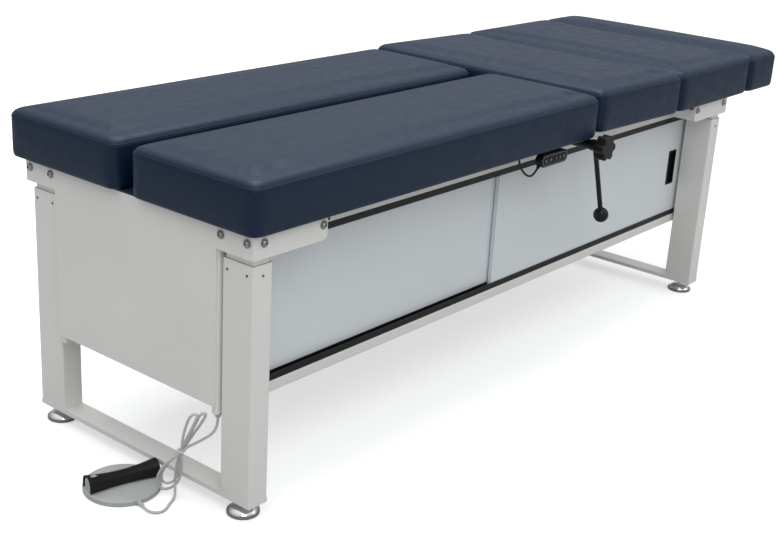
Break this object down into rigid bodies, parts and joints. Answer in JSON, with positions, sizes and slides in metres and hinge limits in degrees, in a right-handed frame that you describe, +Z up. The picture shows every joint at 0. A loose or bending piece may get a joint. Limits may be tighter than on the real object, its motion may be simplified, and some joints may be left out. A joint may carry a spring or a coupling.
{
  "type": "chiropractic table",
  "caption": "Height-adjustable treatment table with split navy pads, a drop section, cocking lever, handset, sliding-door cabinet and a corded foot switch.",
  "frame": {"origin": "centre of the footprint on the floor, free cord left out", "axes": "+X runs along the table from the leg pads to the head pad, +Y runs across it towards the closed back, +Z is up"},
  "size_m": [2.265, 0.753, 0.7052],
  "materials": {
    "frame_paint": "warm off-white powder coat, fine grain",
    "door_panel": "cool pale grey-white satin laminate",
    "steel": "bare machined steel",
    "zinc": "zinc-plated steel with dark sockets",
    "chrome": "bright plated dome and stud on a grey-brown pad",
    "black_plastic": "satin black moulding",
    "grey_plastic": "matte grey-green moulding",
    "light_cord": "light grey flexible cord",
    "black_cord": "black flexible cord",
    "vinyl": "navy vinyl with a fine grain and soft sheen",
    "navy_board": "navy satin deck",
    "plate": "off-white powder coat",
    "machine": "cast aluminium housings",
    "guide": "black guide plastic"
  },
  "bodies": {
    "base": {"base_bars": "frame_paint", "outer_legs": "frame_paint", "leg_guides": "guide", "cylinder_rods": "steel", "foot_switch_base": "grey_plastic", "foot_switch_pin": "steel", "microswitches": "black_plastic", "cord_relief": "grey_plastic", "foot_switch_cord": "light_cord", "cord_hank": "light_cord"},
    "leveller_foot_front": {"levelling_foot_foot_front": "chrome"},
    "leveller_foot_back": {"levelling_foot_foot_back": "chrome"},
    "leveller_head_front": {"levelling_foot_head_front": "chrome"},
    "leveller_head_back": {"levelling_foot_head_back": "chrome"},
    "door_left": {"door_left": "door_panel", "door_pull_left": "black_plastic"},
    "door_right": {"door_right": "door_panel", "door_pull_right": "black_plastic"},
    "drop_section": {"drop_pad": "vinyl", "drop_plate": "plate", "drop_hinge_leaf": "steel"},
    "drop_lever": {"lever_shaft": "steel", "drop_lever": "black_plastic", "lever_ball": "black_plastic"},
    "tension_knob": {"tension_knob": "black_plastic"},
    "foot_rocker": {"foot_switch_rocker": "black_plastic"},
    "button_up": {"button_up": "grey_plastic"},
    "button_down": {"button_down": "grey_plastic"},
    "button_preset_one": {"button_preset_one": "grey_plastic"},
    "button_preset_two": {"button_preset_two": "grey_plastic"},
    "button_preset_three": {"button_preset_three": "grey_plastic"},
    "lift": {"inner_legs": "frame_paint", "cylinder_barrels": "steel", "top_frame": "frame_paint", "end_panel_foot": "frame_paint", "end_panel_head": "frame_paint", "mains_inlet": "black_plastic", "frame_bolts": "zinc", "cabinet_tubes": "frame_paint", "cabinet_floor": "frame_paint", "cabinet_back": "frame_paint", "door_tracks": "black_plastic", "deck_foot": "navy_board", "deck_head": "plate", "head_arms": "frame_paint", "wing_spacers": "black_plastic", "leg_pad_front": "vinyl", "leg_pad_back": "vinyl", "chest_pad": "vinyl", "head_pad": "vinyl", "frame_hinge_leaf": "steel", "lever_bearings": "black_plastic", "handset_body": "black_plastic", "handset_bracket": "frame_paint", "handset_cord": "black_cord", "pump_unit": "machine", "oil_lines": "steel", "control_box": "grey_plastic", "wire_trunking": "grey_plastic", "cord_glands": "black_plastic"}
  },
  "joints": [
    {"name": "height", "type": "slide", "parent": "base", "child": "lift", "axis": [0, 0, 1], "range_m": [0, 0.3]},
    {"name": "level_foot_front", "type": "slide", "parent": "base", "child": "leveller_foot_front", "axis": [0, 0, -1], "range_m": [0, 0.012]},
    {"name": "level_foot_back", "type": "slide", "parent": "base", "child": "leveller_foot_back", "axis": [0, 0, -1], "range_m": [0, 0.012]},
    {"name": "level_head_front", "type": "slide", "parent": "base", "child": "leveller_head_front", "axis": [0, 0, -1], "range_m": [0, 0.012]},
    {"name": "level_head_back", "type": "slide", "parent": "base", "child": "leveller_head_back", "axis": [0, 0, -1], "range_m": [0, 0.012]},
    {"name": "door_left_slide", "type": "slide", "parent": "lift", "child": "door_left", "axis": [1, 0, 0], "range_m": [0, 0.874]},
    {"name": "door_right_slide", "type": "slide", "parent": "lift", "child": "door_right", "axis": [-1, 0, 0], "range_m": [0, 0.874]},
    {"name": "drop_hinge", "type": "hinge", "parent": "lift", "child": "drop_section", "pos_m": [0.5605, 0.0145, 0.584], "axis": [0, -1, 0], "range_deg": [0, 1.12]},
    {"name": "drop_lever_turn", "type": "hinge", "parent": "lift", "child": "drop_lever", "pos_m": [0.1425, 0.0145, 0.57327], "axis": [0, 1, 0], "range_deg": [0, 30]},
    {"name": "tension_turn", "type": "hinge", "parent": "drop_lever", "child": "tension_knob", "pos_m": [0.1425, -0.3645, 0.57327], "axis": [0, 1, 0], "continuous": true},
    {"name": "foot_rock", "type": "hinge", "parent": "base", "child": "foot_rocker", "pos_m": [-1.0545, -0.0335, 0.028], "axis": [0.9659, -0.2588, 0], "range_deg": [-8, 8], "stiffness_Nm_per_rad": 0.4},
    {"name": "press_up", "type": "slide", "parent": "lift", "child": "button_up", "axis": [0, 1, 0], "range_m": [0, 0.0008], "stiffness_N_per_m": 400},
    {"name": "press_down", "type": "slide", "parent": "lift", "child": "button_down", "axis": [0, 1, 0], "range_m": [0, 0.0008], "stiffness_N_per_m": 400},
    {"name": "press_preset_one", "type": "slide", "parent": "lift", "child": "button_preset_one", "axis": [0, 1, 0], "range_m": [0, 0.0008], "stiffness_N_per_m": 400},
    {"name": "press_preset_two", "type": "slide", "parent": "lift", "child": "button_preset_two", "axis": [0, 1, 0], "range_m": [0, 0.0008], "stiffness_N_per_m": 400},
    {"name": "press_preset_three", "type": "slide", "parent": "lift", "child": "button_preset_three", "axis": [0, 1, 0], "range_m": [0, 0.0008], "stiffness_N_per_m": 400}
  ],
  "couplings": [
    {"joint": "drop_lever_turn", "follows": "drop_hinge", "ratio": 26.75}
  ]
}
